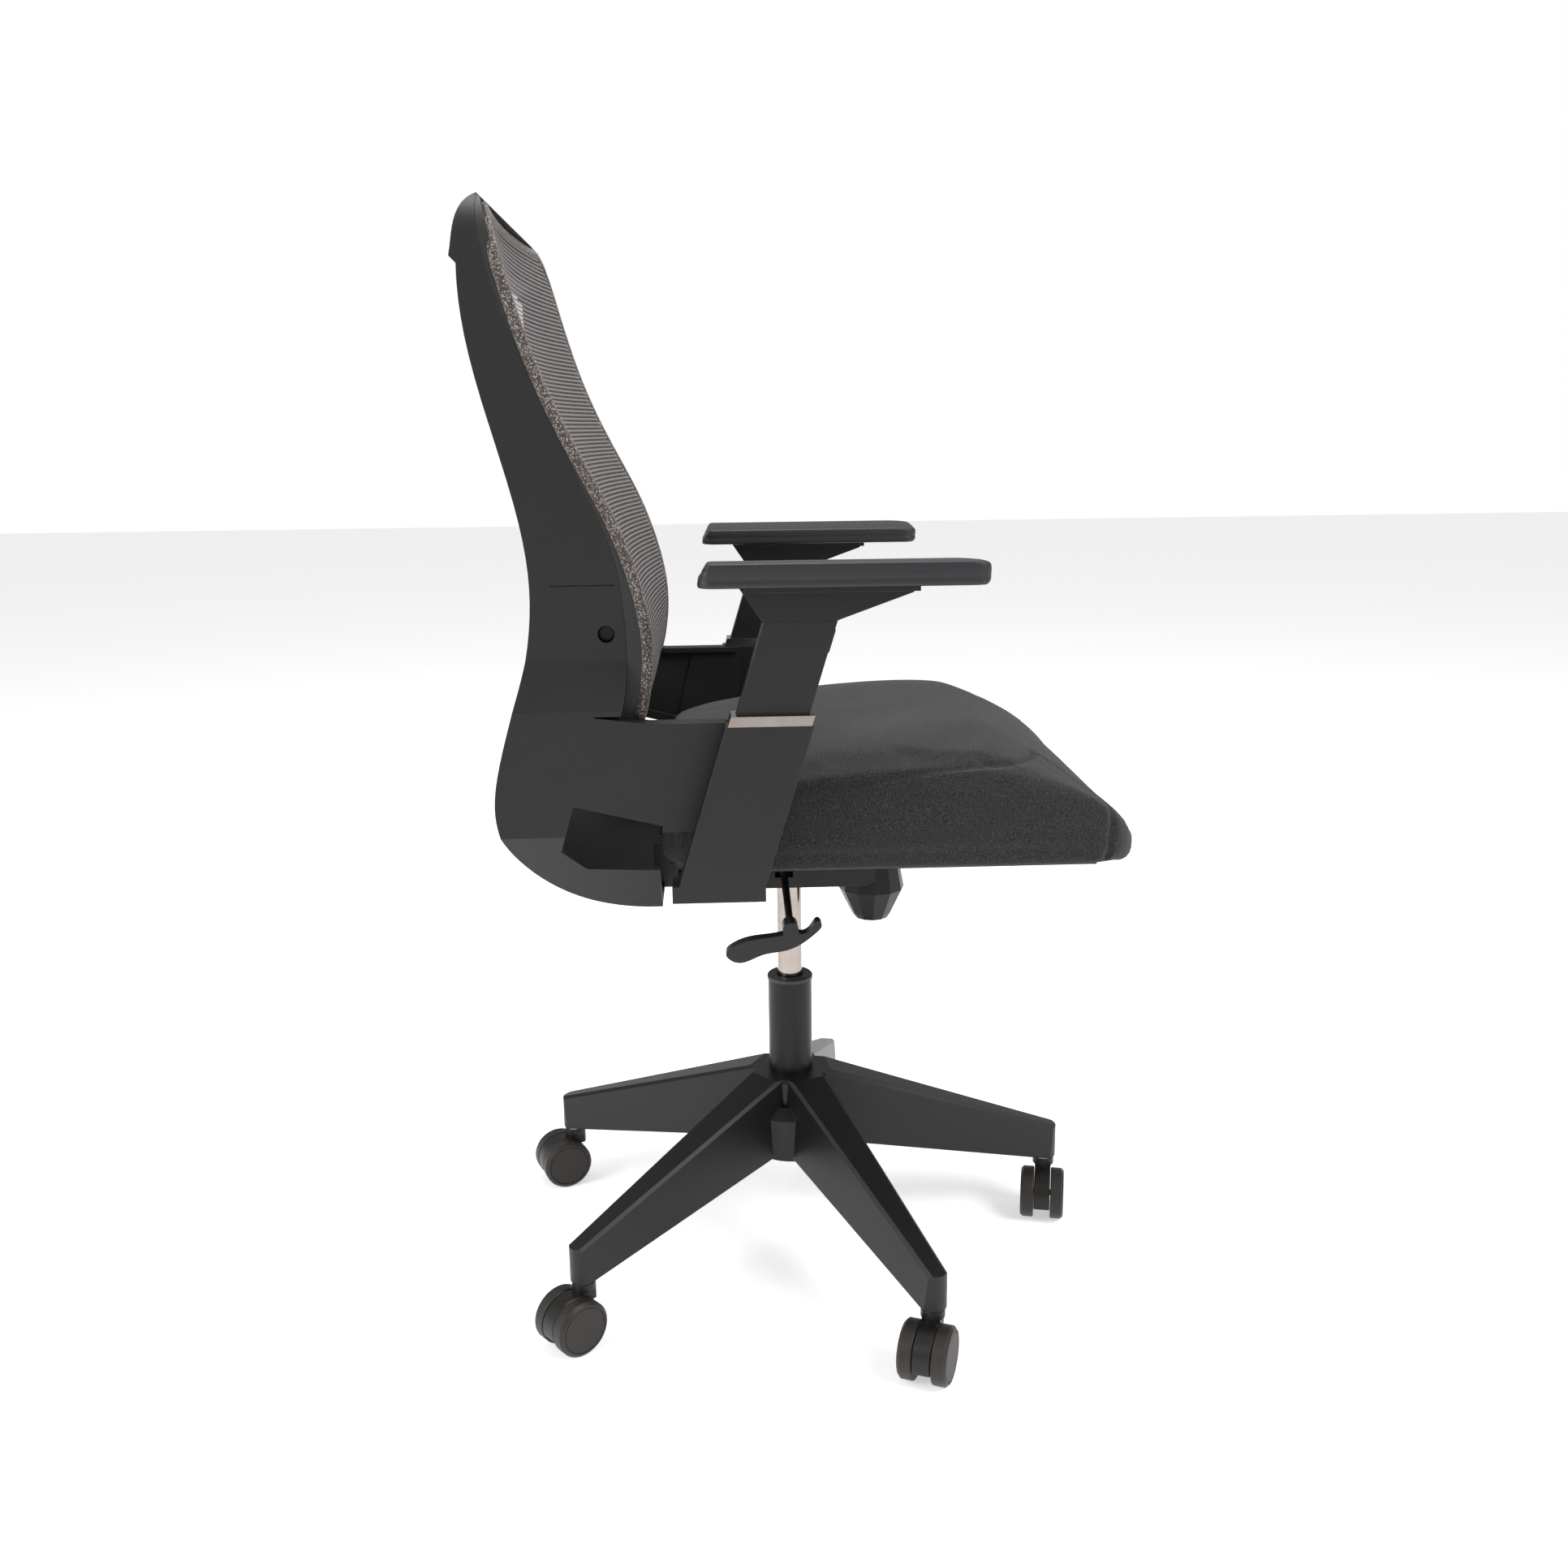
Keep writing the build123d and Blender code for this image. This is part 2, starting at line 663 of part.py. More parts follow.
def back():
    lip, spine = rear_line()
    far = 60
    closing = Polyline(spine @ 1, (far, up(-0.076)), (far, up(0.998)), lip @ 0)
    whole = side_solid(lip + spine + closing, -300, 300)

    wing = wing_line()
    front = wing + Polyline(wing @ 1, (0, up(0.26)), (0, up(1.2)), (280, up(1.2)), wing @ 0)
    in_front = side_solid(front, -300, 300)
    upper = (whole - in_front) & level_cut(up(0.262), up(1.1))
    inner_half = back_half_width - back_wall
    upper -= block((-inner_half, inner_half), (0, 400), (up(0.2), up(0.915)))

    inner = Spline(
        (258, up(0.285)),
        (273, up(0.19)),
        (279, up(0.115)),
        (258, up(0.028)),
        (212, up(-0.04)),
        (165, up(-0.064)),
        (130, up(-0.066)),
    )
    hollow = inner + Polyline(inner @ 1, (50, up(-0.066)), (50, up(0.285)), inner @ 0)
    lower = whole & level_cut(up(-0.1), up(0.34))
    side_wall = 12.0
    bar_half = arm_x - 5
    cavity = side_solid(hollow, -300, 300) & back_mask(side_wall)
    lower -= cavity
    lower -= block((4 - back_half_width, back_half_width - 4), (0, 400), (up(0.285), up(0.4)))
    above_bar = polygon(
        (0, up(0.25)),
        (140, up(0.25)),
        (190, up(0.26)),
        (222, up(0.292)),
        (246, up(0.345)),
        (0, up(0.345)),
    )
    lower -= side_solid(above_bar, -300, 300)
    window = polygon(
        (60, up(0.085)),
        (105, up(0.085)),
        (213, up(0.127)),
        (228, up(0.05)),
        (206, up(0.013)),
        (60, up(0.0)),
    )
    lower -= side_solid(window, -300, 300) - block((-120, 120), (0, 400), (up(-0.1), up(0.2)))
    lower -= block((-300, 300), (0, 136), (up(-0.1), up(0.085)))

    bar_top = polygon(
        (50, up(0.25)),
        (140, up(0.25)),
        (190, up(0.26)),
        (222, up(0.292)),
        (226, up(0.28)),
        (193, up(0.248)),
        (140, up(0.24)),
        (50, up(0.24)),
    )
    front_post = polygon((50, up(0.085)), (131, up(0.085)), (106, up(0.25)), (50, up(0.25)))
    ledge = polygon(
        (50, up(0.085)),
        (105, up(0.085)),
        (213, up(0.127)),
        (211, up(0.143)),
        (105, up(0.101)),
        (50, up(0.101)),
    )
    frame = upper + lower
    for outline in (bar_top, front_post, ledge):
        for x_from in (back_half_width + 7, -bar_half):
            frame += side_solid(outline, x_from, x_from + bar_half - back_half_width - 7)
    for x_from in (back_half_width, -bar_half):
        frame += side_solid(bar_top, x_from, x_from + bar_half - back_half_width)
    seam = block((-300, 300), (168, 228), (up(0.45), up(0.45) + 1.2))
    frame -= seam - block((1.2 - back_half_width, back_half_width - 1.2), (0, 400), (0, back_top_z))
    frame &= back_mask()
    for x in (-90, 90):
        frame += block((x - 20, x + 20), (108, 146), (up(-0.074), seat_z))
    boss_y, boss_z = 178.0, up(0.379)
    recess_depth = 12.0
    for side in (-1, 1):
        outer = side * back_half_width
        inner_face = side * (back_half_width - 20)
        low, high = min(outer, inner_face), max(outer, inner_face)
        frame += bar_x(13, low, high, boss_y, boss_z)
        recess_in = side * (back_half_width - recess_depth)
        frame -= bar_x(8, min(recess_in, outer) - 0.5, max(recess_in, outer) + 0.5, boss_y, boss_z)
        frame -= bar_x(2.5, low - 1, high + 1, boss_y, boss_z)
    for sleeve in both_sides(sleeve_block()).values():
        frame -= sleeve
    hollow_space = hollow_cut()
    nodes["back_frame"] = frame - hollow_space

    mesh_rear = mesh_line(mesh_thickness + mesh_fit)
    carrier_outline = wing + Line(wing @ 1, mesh_rear @ 1) + mesh_rear + Line(mesh_rear @ 0, wing @ 0)
    carrier = side_solid(carrier_outline, 0.5 - back_half_width, back_half_width - 0.5) & back_mask(0.5)
    window_half = back_half_width - carrier_width - 4
    carrier -= block((-window_half, window_half), (0, 400), (up(0.3), up(0.955)))
    nodes["mesh_carrier"] = carrier - hollow_space

    nodes["mesh_panel"] = mesh_sheet(back_half_width - 3) & back_mask(3)

    head_face = back_half_width - recess_depth
    screw = bar_x(6.5, -head_face - 4, -head_face, boss_y, boss_z)
    screw += bar_x(2.5, -head_face, -head_face + 14, boss_y, boss_z)
    nodes["back_screws"] = Compound(children=list(both_sides(screw).values()))


# ---------------------------------------------------------------- arms
def arms():
    inner_width = sleeve_width - 2 * sleeve_wall
    inner_depth = sleeve_depth - 2 * sleeve_wall
    sleeve_foot_z = seat_z + 6
    sleeve_top_z = seat_z + 157
    band_top_z = sleeve_top_z + 10
    upright_top_z = seat_z + 253
    bracket_z = seat_z + 278
    pad_z = seat_z + 286

    cavity = arm_frame() * Box(inner_width, inner_depth, 420)
    sleeve = sleeve_block() & level_cut(sleeve_foot_z, sleeve_top_z)
    sleeve -= cavity & level_cut(sleeve_foot_z + 10, sleeve_top_z + 1)
    outer, inner = -arm_x - sleeve_width / 2, -arm_x + sleeve_width / 2
    sleeve += block((outer, inner), (34, 122), (seat_z - 10, sleeve_foot_z))
    sleeve += block((outer, -150), (38, 118), (seat_z - 10, seat_z))
    for x, y in arm_bolt_places():
        sleeve -= post(4, seat_z - 11, seat_z + 1, -x, y)

    band = arm_frame() * Box(sleeve_width - 3, sleeve_depth - 4, 420)
    band = (band - cavity) & level_cut(sleeve_top_z, band_top_z)

    bar = arm_frame() * Box(inner_width - 2 * arm_fit, inner_depth - 2 * arm_fit, 420)
    upright = bar & level_cut(upright_top_z - upright_length, upright_top_z)
    button_place = arm_frame() * Pos(0, -(inner_depth / 2 - arm_fit), 170)
    upright -= button_place * Box(12.4, 12, 22.4)
    button = button_place * Pos(0, 0.6, 0) * Box(12, 4, 22)

    bracket_outline = polygon(
        (34, upright_top_z),
        (56, pad_z),
        (-110, pad_z),
        (-104, bracket_z),
        (-42, upright_top_z + 3),
        (-34, upright_top_z),
    )
    bracket = side_solid(bracket_outline, -arm_x - 11, -arm_x + 11)
    bracket += block((-arm_x - 30, -arm_x + 30), (-108, 50), (pad_z - 5, pad_z))

    pad_x = arm_x - 2
    pad_rear = 92.8
    pad_front = pad_rear - pad_length
    pad_top = pad_z + pad_thickness
    pad_outline = polygon(
        (pad_rear - 2, pad_z),
        (pad_rear, pad_z + 3),
        (pad_rear - 10, pad_top),
        (pad_front + 2, pad_top),
        (pad_front, pad_top - 3),
        (pad_front, pad_z + 4),
        (pad_front + 4, pad_z),
    )
    pad = side_solid(pad_outline, -pad_x - pad_width / 2, -pad_x + pad_width / 2)
    pad_plan = Pos(-pad_x, pad_rear - pad_length / 2, pad_z) * RectangleRounded(pad_width, pad_length, 14)
    pad &= extrude(pad_plan, pad_thickness)

    pieces = {
        "arm_sleeve": sleeve,
        "sleeve_band": band,
        "arm_upright": upright,
        "arm_button": button,
        "pad_bracket": bracket,
        "arm_pad": pad,
    }
    for name, piece in pieces.items():
        for side, solid in both_sides(piece).items():
            nodes[f"{name}_{side}"] = solid

    bolts = []
    for x, y in arm_bolt_places():
        bolt = post(4, seat_z - 10, seat_z, -x, y) + post(7, seat_z - 15, seat_z - 10, -x, y)
        bolts += both_sides(bolt).values()
    nodes["arm_bolts"] = Compound(children=bolts)


def arm_bolt_places():
    """Distance from the middle and depth of the bolts that hold one arm under the seat."""
    return (172, 56), (172, 100), (202, 78)


# ---------------------------------------------------------------- the chair
nodes["five_star_base"] = five_star_base()
place_casters()
gas_lift()
mechanism()
lever()
seat()
back()
arms()
for node_name, node_solid in nodes.items():
    export_step(node_solid, f"parts/{node_name}.step")
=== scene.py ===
"""Swivel office chair with a mesh back: soft goods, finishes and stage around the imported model.

Metres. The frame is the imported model's own: origin on the floor on the column's axis, +Z up,
the sitter looks along -Y and +X is the sitter's left.
"""

import json
from math import cos, exp, pi, sin

import bpy
from bpy.props import FloatProperty, FloatVectorProperty, IntProperty, PointerProperty
from mathutils import Matrix, Vector
from mathutils.bvhtree import BVHTree
from mathutils.kdtree import KDTree


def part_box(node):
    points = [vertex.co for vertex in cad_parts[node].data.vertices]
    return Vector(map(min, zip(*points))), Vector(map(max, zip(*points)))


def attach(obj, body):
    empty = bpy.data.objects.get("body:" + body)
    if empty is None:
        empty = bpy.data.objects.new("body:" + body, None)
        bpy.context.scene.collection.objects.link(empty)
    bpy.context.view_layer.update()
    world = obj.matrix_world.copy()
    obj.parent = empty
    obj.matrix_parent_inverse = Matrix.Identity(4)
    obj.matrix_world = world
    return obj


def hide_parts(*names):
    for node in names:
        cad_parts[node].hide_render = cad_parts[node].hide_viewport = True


bl_info = {
    "name": "Mesh-back office chair",
    "version": (1, 0, 0),
    "blender": (4, 5, 0),
    "location": "View3D > Sidebar > Chair",
    "description": "Builds the soft goods, finishes and stage of a swivel office chair",
    "category": "Object",
}

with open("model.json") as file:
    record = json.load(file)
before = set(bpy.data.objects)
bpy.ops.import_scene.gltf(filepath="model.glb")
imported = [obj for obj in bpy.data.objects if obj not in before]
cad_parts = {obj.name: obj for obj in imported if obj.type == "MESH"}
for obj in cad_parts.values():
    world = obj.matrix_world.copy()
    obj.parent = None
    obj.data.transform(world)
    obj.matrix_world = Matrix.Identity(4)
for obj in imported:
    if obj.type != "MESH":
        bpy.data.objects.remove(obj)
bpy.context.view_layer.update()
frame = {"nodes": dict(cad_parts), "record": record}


# ---------------------------------------------------------------- shader expressions
class Socket:
    """A shader output that sums and products can be written with."""

    def __init__(self, maker, output):
        self.maker = maker
        self.output = output

    def math(self, operation, first, second=0.0):
        return self.maker.add("ShaderNodeMath", {"operation": operation}, {0: first, 1: second})

    def __add__(self, other):
        return self.math("ADD", self, other)

    def __radd__(self, other):
        return self.math("ADD", other, self)

    def __sub__(self, other):
        return self.math("SUBTRACT", self, other)

    def __rsub__(self, other):
        return self.math("SUBTRACT", other, self)

    def __mul__(self, other):
        return self.math("MULTIPLY", self, other)

    def __rmul__(self, other):
        return self.math("MULTIPLY", other, self)

    def __abs__(self):
        return self.math("ABSOLUTE", self)

    def sine(self):
        return self.math("SINE", self)

    def between(self, low, high):
        """0 below low, 1 above high, and even in between."""
        settings = {"clamp": True}
        return self.maker.add("ShaderNodeMapRange", settings, {"Value": self, 1: low, 2: high})


class Finish:
    """A material, and the nodes that make it up."""

    def __init__(self, name):
        self.material = bpy.data.materials.new(name)
        self.material.use_nodes = True
        self.tree = self.material.node_tree
        self.shader = self.tree.nodes["Principled BSDF"]
        self.place = self.add("ShaderNodeTexCoord", output="Object")

    def add(self, kind, settings=None, inputs=None, output=0):
        """Adds a node with its settings, then fills or links its sockets."""
        node = self.tree.nodes.new(kind)
        for key, value in (settings or {}).items():
            setattr(node, key, value)
        for key, value in (inputs or {}).items():
            self.fill(node.inputs[key], value)
        return Socket(self, node.outputs[output])

    def fill(self, socket, value):
        """Links a socket to an output, or gives it a constant."""
        if isinstance(value, Socket):
            self.tree.links.new(value.output, socket)
        elif socket.type == "RGBA":
            socket.default_value = (*value[:3], 1.0)
        else:
            socket.default_value = value

    def mix(self, factor, first, second):
        """A colour between two colours."""
        inputs = {0: factor, 6: first, 7: second}
        return self.add("ShaderNodeMix", {"data_type": "RGBA"}, inputs, 2)

    def noise(self, size, detail=3.0, rough=0.55, stretch=(1.0, 1.0, 1.0)):
        """Cloudy noise whose grains are about size across, in metres."""
        scaling = {"operation": "MULTIPLY"}
        place = self.add("ShaderNodeVectorMath", scaling, {0: self.place, 1: stretch})
        inputs = {"Vector": place, "Scale": 1.0 / size, "Detail": detail, "Roughness": rough}
        return self.add("ShaderNodeTexNoise", None, inputs)

    def cells(self, size):
        """Distance to the nearest of many scattered points about size apart."""
        inputs = {"Vector": self.place, "Scale": 1.0 / size}
        return self.add("ShaderNodeTexVoronoi", {"feature": "F1"}, inputs)

    def axes(self, vector):
        """The three parts of a vector."""
        return [self.add("ShaderNodeSeparateXYZ", None, {0: vector}, axis) for axis in range(3)]

    def facing(self):
        """The three parts of the surface's own direction."""
        return self.axes(self.add("ShaderNodeNewGeometry", output="Normal"))

    def soft_edges(self, radius):
        """The surface direction with its sharp edges rounded."""
        return self.add("ShaderNodeBevel", {"samples": 4}, {"Radius": radius})

    def edge_wear(self, radius):
        """1 along outer edges, 0 on open faces."""
        flat = self.add("ShaderNodeNewGeometry", output="Normal")
        rounded = self.soft_edges(radius)
        product = {"operation": "DOT_PRODUCT"}
        along = self.add("ShaderNodeVectorMath", product, {0: rounded, 1: flat}, 1)
        return (1.0 - along).between(0.02, 0.3)

    def bump(self, height, strength, distance, base=None):
        """The surface direction over a height, on top of another direction where one is given."""
        inputs = {"Height": height, "Strength": strength, "Distance": distance}
        if base is not None:
            inputs["Normal"] = base
        return self.add("ShaderNodeBump", None, inputs)

    def set(self, **values):
        """Sets the main shader's sockets; underscores stand for spaces."""
        for key, value in values.items():
            self.fill(self.shader.inputs[key.replace("_", " ")], value)
        return self.material


# ---------------------------------------------------------------- finishes
def shaded(shade, share):
    """A colour made lighter or darker."""
    return [share * part for part in shade]


def moulded_nylon(name, shade, worn, grain, gloss, wear):
    """Injection-moulded plastic: fine spark-eroded grain, polished edges, faint handling marks."""
    finish = Finish(name)
    clouds = finish.noise(0.09, 4.0)
    marks = finish.noise(0.012, 5.0, 0.7)
    edges = finish.edge_wear(0.0012)
    base = finish.mix(clouds.between(0.35, 0.7), shade, shaded(shade, 1.25))
    base = finish.mix(edges * wear * marks.between(0.3, 0.6), base, worn)
    height = finish.cells(grain) + 0.6 * finish.noise(grain * 1.7, 2.0)
    return finish.set(
        Base_Color=base,
        Roughness=gloss + 0.1 * marks - 0.1 * edges,
        Specular_IOR_Level=0.36,
        Normal=finish.bump(height, 0.3, 0.00014, finish.soft_edges(0.0009)),
    )


def powder_coat(name, shade):
    """Black powder-coated steel with its slight orange peel."""
    finish = Finish(name)
    peel = finish.noise(0.0022, 2.0, 0.4)
    clouds = finish.noise(0.05, 3.0)
    edges = finish.edge_wear(0.0008)
    bare_edge = (0.11, 0.108, 0.105)
    base = finish.mix(clouds, shade, shaded(shade, 1.4))
    base = finish.mix(edges * 0.45, base, bare_edge)
    return finish.set(
        Base_Color=base,
        Roughness=0.3 + 0.12 * clouds,
        Specular_IOR_Level=0.25,
        Normal=finish.bump(peel, 0.3, 0.0001, finish.soft_edges(0.0006)),
    )


def bright_steel(name, shade, gloss, lines):
    """Polished or plated steel with fine turning lines and smudges."""
    finish = Finish(name)
    turning = finish.noise(lines, 2.0, 0.6, (0.05, 0.05, 1.0))
    smudge = finish.noise(0.018, 4.0, 0.65)
    return finish.set(
        Base_Color=finish.mix(smudge.between(0.3, 0.75), shade, shaded(shade, 0.82)),
        Metallic=1.0,
        Roughness=gloss + 0.1 * smudge.between(0.45, 0.8) + 0.05 * turning,
        Normal=finish.bump(turning, 0.06, 0.00005, finish.soft_edges(0.0004)),
    )


def plain_plastic(name, shade, gloss):
    """Smooth moulded plastic or rubber with a matt bloom."""
    finish = Finish(name)
    bloom = finish.noise(0.006, 4.0, 0.6)
    return finish.set(
        Base_Color=finish.mix(bloom.between(0.3, 0.7), shade, shaded(shade, 0.78)),
        Roughness=gloss + 0.12 * bloom,
        Normal=finish.bump(finish.noise(0.0011, 2.0), 0.15, 0.0001, finish.soft_edges(0.0006)),
    )


def plywood(name):
    """Moulded plywood under a black lining cloth that lets the grain through."""
    finish = Finish(name)
    grain = finish.noise(0.004, 5.0, 0.6, (1.0, 0.06, 1.0))
    ply = 0.003
    dark_grain, light_grain, glue_line = (0.035, 0.031, 0.028), (0.075, 0.062, 0.05), (0.02, 0.018, 0.016)
    plies = finish.axes(finish.place)[2] * (2.0 * pi / ply)
    base = finish.mix(grain, dark_grain, light_grain)
    return finish.set(
        Base_Color=finish.mix(plies.sine().between(0.2, 0.9) * 0.5, base, glue_line),
        Roughness=0.75 + 0.15 * grain,
        Normal=finish.bump(grain, 0.3, 0.0002),
    )


def weave_height(finish, pitch):
    """Crossing threads: on each face, the two directions that lie in it."""
    across, along, up = [(part * (pi / pitch)).sine() for part in finish.axes(finish.place)]
    side_x, side_y, side_z = [abs(part) for part in finish.facing()]
    top = abs(across * along)
    flank = abs(along * up)
    front = abs(across * up)
    return top * side_z + flank * side_x + front * side_y


def woven_cloth(name, shade, light, pitch, fuzz):
    """Close upholstery cloth: two yarn shades, crossing threads and a soft nap."""
    finish = Finish(name)
    threads = weave_height(finish, pitch)
    yarn = finish.noise(pitch * 0.9, 2.0, 0.7)
    dust_and_light_blotch = finish.noise(0.05, 3.0)
    top_dust_and_light = finish.facing()[2].between(0.2, 1.0)
    base = finish.mix(yarn.between(0.42, 0.68), shade, light)
    # darker where the weave is low: painted shade in the hollows between threads
    base = finish.mix(0.35 * (1.0 - threads), base, shaded(shade, 0.35))
    # up-facing faces lightened in blotches towards the light yarn: partly dust, partly painted light
    # falling on the top
    base = finish.mix(0.25 * top_dust_and_light * dust_and_light_blotch.between(0.2, 0.9), base, light)
    return finish.set(
        Base_Color=base,
        Roughness=0.86 + 0.1 * yarn,
        Specular_IOR_Level=0.25,
        Sheen_Weight=fuzz,
        Sheen_Roughness=0.45,
        Sheen_Tint=(0.62, 0.61, 0.62),
        Normal=finish.bump(threads + 0.8 * yarn, 0.5, 0.00035),
    )


def ribbed_mesh(name, rib, gap, pitch):
    """Open elastic mesh: a close rib at each pitch, and fine upright threads between ribs."""
    finish = Finish(name)
    thread_pitch = 0.0016
    least_cover = 0.08
    flat = finish.add("ShaderNodeTexCoord", output="UV")
    across, along, _ = finish.axes(flat)
    ribs = 0.5 + 0.5 * (along * (2.0 * pi / pitch)).sine()
    threads = 0.5 + 0.5 * (across * (2.0 * pi / thread_pitch)).sine()
    twist = finish.noise(0.0012, 2.0, 0.7)
    solid = ribs.between(0.42, 0.62)
    thread = threads.between(0.5, 0.75)
    # ribs take the rib colour: their own dark grey lightened to pinkish grey by a painted highlight
    base = finish.mix(solid * (0.55 + 0.6 * twist), gap, rib)
    opaque = 1.0 - (1.0 - solid) * (1.0 - thread)
    return finish.set(
        Base_Color=base,
        Roughness=0.7 + 0.2 * twist,
        Alpha=least_cover + (1.0 - least_cover) * opaque,
        Sheen_Weight=0.2,
        Normal=finish.bump(ribs + 0.5 * threads + 0.4 * twist, 0.45, 0.0005),
    )


def speckled_piping(name, shade, sparkle):
    """Fuzzy woven edging with lighter flecks."""
    finish = Finish(name)
    flecks = finish.cells(0.0021)
    loops = finish.noise(0.0014, 3.0, 0.75)
    base = finish.mix(loops.between(0.4, 0.7), shade, shaded(shade, 2.1))
    lit = 0.85 * loops.between(0.44, 0.58) * (1.0 - flecks.between(0.15, 0.6))
    base = finish.mix(lit, base, sparkle)
    return finish.set(
        Base_Color=base,
        Roughness=0.82 + 0.12 * loops,
        Sheen_Weight=0.35,
        Sheen_Tint=(0.7, 0.66, 0.62),
        Normal=finish.bump(loops - 0.6 * flecks, 0.75, 0.0006),
    )


def pad_skin(name, shade):
    """Integral-skin foam: leathery pores, a satin sheen and a little bloom."""
    finish = Finish(name)
    pores = finish.cells(0.0013)
    hide = finish.noise(0.0032, 4.0, 0.6)
    clouds = finish.noise(0.04, 3.0)
    return finish.set(
        Base_Color=finish.mix(clouds, shade, shaded(shade, 1.5)),
        Roughness=0.36 + 0.14 * hide + 0.06 * clouds,
        Specular_IOR_Level=0.5,
        Normal=finish.bump(pores.between(0.0, 0.5) + 0.7 * hide, 0.22, 0.00018),
    )


def plain_floor(name, shade):
    """Pale matt floor with the faintest mottling."""
    finish = Finish(name)
    mottle = finish.noise(0.3, 3.0)
    return finish.set(
        Base_Color=finish.mix(0.4 * mottle, shade, shaded(shade, 0.97)),
        Roughness=0.75,
        Specular_IOR_Level=0.0,
        Emission_Color=(1.0, 1.0, 1.0),
        Emission_Strength=0.5,
    )


# ---------------------------------------------------------------- mesh helpers
def placed(name, content):
    """An object in the scene, at the origin."""
    holder = bpy.data.objects.new(name, content)
    bpy.context.scene.collection.objects.link(holder)
    return holder


def new_piece(name, mesh, body=None, finish=None):
    """Puts a mesh in the scene at the origin, on a body, with its finish."""
    piece = placed(name, mesh)
    if finish is not None:
        mesh.materials.clear()
        mesh.materials.append(finish)
    mesh.shade_smooth()
    if body is not None:
        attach(piece, body)
    return piece


def mesh_from(name, points, faces, flat=None):
    """A mesh from points and faces, with flat cut positions as its UV map where given."""
    mesh = bpy.data.meshes.new(name)
    mesh.from_pydata([tuple(point) for point in points], [], faces)
    if flat is not None:
        layer = mesh.uv_layers.new(name="flat")
        for loop in mesh.loops:
            layer.data[loop.index].uv = flat[loop.vertex_index]
    mesh.validate()
    mesh.update()
    return mesh


def mesh_tree(mesh):
    """A mesh that rays and nearest points can be found on."""
    places = [tuple(vertex.co) for vertex in mesh.vertices]
    return BVHTree.FromPolygons(places, [tuple(face.vertices) for face in mesh.polygons])


def ring_faces(first, rings, sides):
    """Faces of a closed roll whose points run ring by ring, with its two end caps."""
    faces = []
    for ring in range(rings - 1):
        here, there = first + ring * sides, first + (ring + 1) * sides
        for side in range(sides):
            turn = (side + 1) % sides
            faces.append((here + side, here + turn, there + turn, there + side))
    last = first + (rings - 1) * sides
    faces.append(tuple(first + side for side in reversed(range(sides))))
    faces.append(tuple(last + side for side in range(sides)))
    return faces


def tube(name, path, radius, sides=12):
    """A round roll along a path."""
    points, flat = [], []
    run = 0.0
    previous = path[0]
    for index, place in enumerate(path):
        before = path[max(index - 1, 0)]
        after = path[min(index + 1, len(path) - 1)]
        ahead = (after - before).normalized()
        out = ahead.cross(Vector((0.0, 1.0, 0.0))).normalized()
        over = out.cross(ahead).normalized()
        run += (place - previous).length
        previous = place
        for side in range(sides):
            turn = 2 * pi * side / sides
            points.append(place + radius * (cos(turn) * out + sin(turn) * over))
            flat.append((run, radius * turn))
    return mesh_from(name, points, ring_faces(0, len(path), sides), flat)


def capsules(name, places, length, radius):
    """Many short thread stitches, each given by its middle, its direction and the way out."""
    points, faces = [], []
    sides = 6
    rings = ((-1.0, 0.25), (-0.8, 0.8), (0.0, 1.0), (0.8, 0.8), (1.0, 0.25))
    for middle, ahead, out in places:
        across = ahead.cross(out).normalized()
        faces += ring_faces(len(points), len(rings), sides)
        for along, share in rings:
            for side in range(sides):
                turn = 2 * pi * side / sides
                spoke = cos(turn) * across + sin(turn) * out
                points.append(middle + ahead * (along * length / 2) + spoke * (share * radius))
    return mesh_from(name, points, faces)


def evaluated(piece):
    """A copy of the mesh with its modifiers applied."""
    graph = bpy.context.evaluated_depsgraph_get()
    return bpy.data.meshes.new_from_object(piece.evaluated_get(graph))


def remeshed(node, voxel, rounds):
    """A CAD node's form as an even, softened skin."""
    holder = placed("holder", frame["nodes"][node].data.copy())
    shell = holder.modifiers.new("even", "REMESH")
    shell.mode = "VOXEL"
    shell.voxel_size = voxel
    soften = holder.modifiers.new("soften", "SMOOTH")
    soften.factor = 0.5
    soften.iterations = rounds
    result = evaluated(holder)
    bpy.data.objects.remove(holder)
    return result


def swollen(mesh, held, cap):
    """Inflates a closed skin as tight padding; held points stay, and none moves more than cap."""
    frames = 20
    pressure = 4.0
    rest = [vertex.co.copy() for vertex in mesh.vertices]
    piece = placed("padding", mesh)
    group = piece.vertex_groups.new(name="held")
    group.add(held, 1.0, "REPLACE")
    cloth = piece.modifiers.new("padding", "CLOTH")
    cloth.settings.use_pressure = True
    cloth.settings.uniform_pressure_force = pressure
    cloth.settings.vertex_group_mass = "held"
    cloth.settings.effector_weights.gravity = 0.0
    cloth.settings.quality = 4
    cloth.point_cache.frame_start = 1
    cloth.point_cache.frame_end = frames
    scene = bpy.context.scene
    for step in range(1, frames + 1):
        scene.frame_set(step)
    result = evaluated(piece)
    scene.frame_set(1)
    bpy.data.objects.remove(piece)
    for vertex, start in zip(result.vertices, rest):
        move = vertex.co - start
        if move.length > cap:
            vertex.co = start + move * (cap / move.length)
    return result


def subdivided(mesh):
    """The mesh with every face split in four and rounded."""
    holder = placed("holder", mesh)
    level = holder.modifiers.new("fine", "SUBSURF")
    level.levels = 1
    level.render_levels = 1
    result = evaluated(holder)
    bpy.data.objects.remove(holder)
    return result


def nearest_on(line):
    """The points of a line, so that the nearest can be found."""
    tree = KDTree(len(line))
    for index, place in enumerate(line):
        tree.insert(place, index)
    tree.balance()
    return tree


